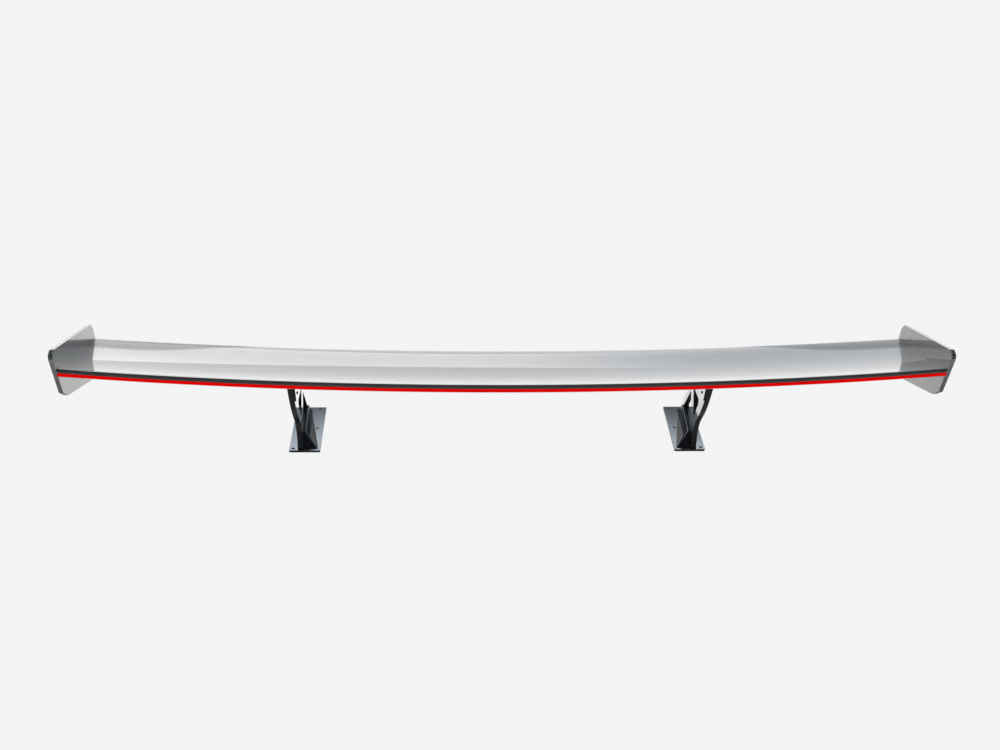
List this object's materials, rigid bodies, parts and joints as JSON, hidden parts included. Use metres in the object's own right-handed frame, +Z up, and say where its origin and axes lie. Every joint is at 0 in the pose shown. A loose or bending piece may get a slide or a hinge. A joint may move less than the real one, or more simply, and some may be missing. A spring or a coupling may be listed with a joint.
{
  "type": "racing rear wing",
  "caption": "Bowed carbon rear wing with end plates and a full-width brake light in the trailing edge, on two trussed uprights with bolt-down feet and adjustable pitch.",
  "frame": {"origin": "on the plane of the deck under the feet, midway between the two feet and in the middle of the overall length", "axes": "+X along the span to the right as seen from behind, +Y towards the front of the car, +Z up"},
  "size_m": [1.6, 0.5369, 0.4076],
  "materials": {
    "carbon_gloss": "clear-coated twill carbon laminate",
    "carbon_raw": "uncoated carbon laminate",
    "aluminium_alloy": "machined",
    "bracket_black": "black anodised, glossy",
    "stainless": "turned",
    "black_screws": "black oxide",
    "zinc_steel": "zinc plated",
    "bronze": "sintered bronze, satin",
    "channel_black": "moulded",
    "circuit_board": "solder resist",
    "led_red": "clear dome",
    "red_lens": "translucent acrylic",
    "rubber_black": "moulded",
    "carbon_stand": "clear-coated carbon plate",
    "carbon_foot": "clear-coated twill carbon moulding"
  },
  "bodies": {
    "stands": {"foot_left": "carbon_foot", "foot_right": "carbon_foot", "foot_gasket_left": "rubber_black", "foot_gasket_right": "rubber_black", "upright_left": "carbon_stand", "upright_right": "carbon_stand", "foot_inserts": "stainless", "foot_screws": "black_screws", "pivot_bolts": "black_screws", "pivot_washers": "zinc_steel", "pivot_nuts": "zinc_steel"},
    "wing": {"upper_skin": "carbon_gloss", "lower_skin": "carbon_gloss", "trailing_edge_bar": "carbon_gloss", "main_spar": "carbon_raw", "nose_rib_1": "carbon_raw", "nose_rib_2": "carbon_raw", "nose_rib_3": "carbon_raw", "nose_rib_4": "carbon_raw", "rear_rib_1": "carbon_raw", "rear_rib_2": "carbon_raw", "rear_rib_3": "carbon_raw", "rear_rib_4": "carbon_raw", "hardpoint_left": "aluminium_alloy", "hardpoint_right": "aluminium_alloy", "end_rib_left": "carbon_raw", "end_rib_right": "carbon_raw", "end_inserts": "stainless", "endplate_left": "carbon_gloss", "endplate_right": "carbon_gloss", "endplate_screws": "black_screws", "light_channel": "channel_black", "light_board": "circuit_board", "light_leds": "led_red", "light_lens": "red_lens", "light_end_caps": "channel_black", "lead_grommet": "rubber_black", "wing_bracket_left": "bracket_black", "wing_bracket_right": "bracket_black", "bracket_screws": "black_screws", "bracket_inserts": "stainless", "pivot_bushes": "bronze", "clamp_screws": "black_screws", "clamp_washers": "zinc_steel", "clamp_nuts": "zinc_steel"}
  },
  "joints": [
    {"name": "wing_pitch", "type": "hinge", "parent": "stands", "child": "wing", "pos_m": [0, 0.0085, 0.24], "axis": [1, 0, 0], "range_deg": [-5, 5]}
  ]
}
